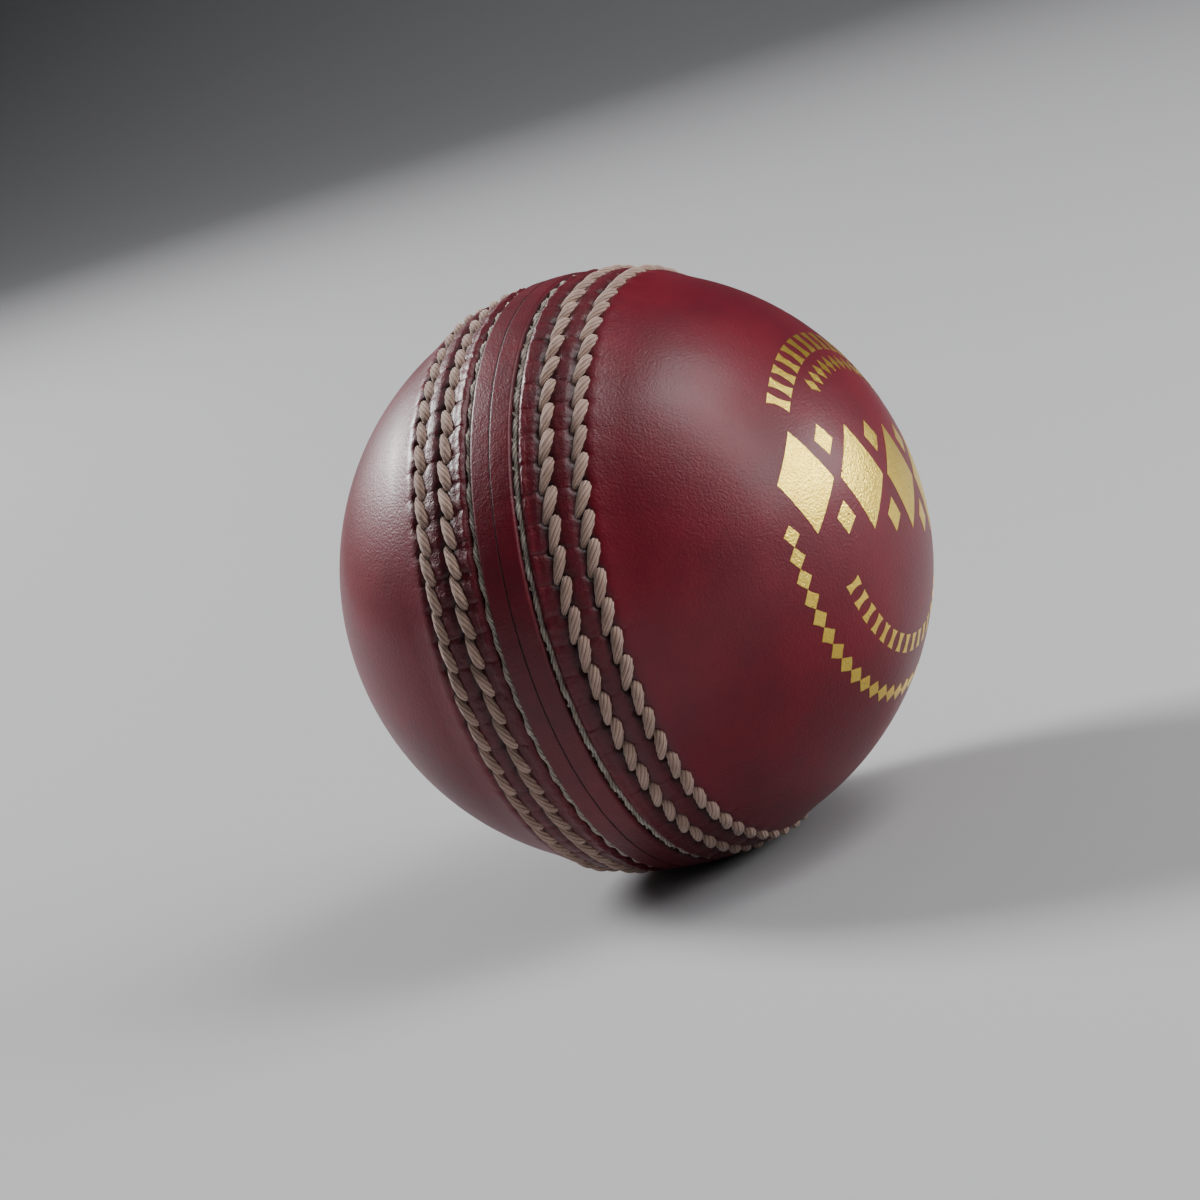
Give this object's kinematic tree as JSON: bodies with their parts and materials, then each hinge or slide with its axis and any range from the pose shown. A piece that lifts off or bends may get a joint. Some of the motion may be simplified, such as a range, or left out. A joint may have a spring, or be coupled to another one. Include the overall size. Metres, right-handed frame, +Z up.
{
  "type": "cricket ball",
  "caption": "Hand-stitched leather ball: a wound cork core in two leather cups, closed by a raised seam of six thread rows.",
  "frame": {"origin": "the ball's centre", "axes": "+X out through the pole of the stamped cup, square to the seam's plane; +Z up, with the seam upright in the YZ plane"},
  "size_m": [0.0714, 0.072, 0.072],
  "materials": {
    "leather": "dyed and waxed, satin to glossy, fine grain, mottled darker",
    "stitch_thread": "waxed linen, several strands twisted together, a little soiled",
    "gold_foil": "thin hot-pressed metallic foil that follows the leather's grain",
    "cork": "matt cork, granular",
    "yarn": "undyed wool yarn, wound tight",
    "nucleus": "moulded cork and rubber, matt"
  },
  "bodies": {
    "root": {"nucleus": "nucleus", "inner_winding": "yarn", "middle_winding": "yarn", "outer_winding": "yarn", "inner_cork_strip_1": "cork", "inner_cork_strip_2": "cork", "inner_cork_strip_3": "cork", "inner_cork_strip_4": "cork", "outer_cork_strip_1": "cork", "outer_cork_strip_2": "cork", "outer_cork_strip_3": "cork", "outer_cork_strip_4": "cork", "stamped_cup": "leather", "stamped_outer_row": "stitch_thread", "stamped_middle_row": "stitch_thread", "plain_cup": "leather", "plain_outer_row": "stitch_thread", "plain_middle_row": "stitch_thread", "closing_thread": "stitch_thread"}
  },
  "joints": []
}
